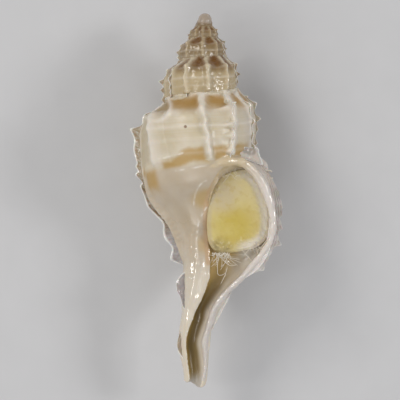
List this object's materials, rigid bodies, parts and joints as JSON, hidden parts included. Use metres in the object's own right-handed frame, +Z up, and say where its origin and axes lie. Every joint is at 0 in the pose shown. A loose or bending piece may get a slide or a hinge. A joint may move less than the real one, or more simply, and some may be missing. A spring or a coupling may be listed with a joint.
{
  "type": "sea snail shell",
  "caption": "Spindle-shaped sea snail shell with thin raised lamellae, a layered outer lip, a long open canal and a yellow operculum in its mouth, lying on its back.",
  "frame": {"origin": "middle of the whole part's footprint box, on the surface it lies on", "axes": "+Y along the shell towards the apex, +Z up out of the mouth, +X towards the outer lip"},
  "size_m": [0.0122, 0.03, 0.0099],
  "materials": {
    "shell": "cream shell with tan bands and white lamellae, satin, glossy at the pillar and lip",
    "operculum": "horny, yellow, satin"
  },
  "bodies": {
    "root": {"shell": "shell", "operculum": "operculum"}
  },
  "joints": []
}
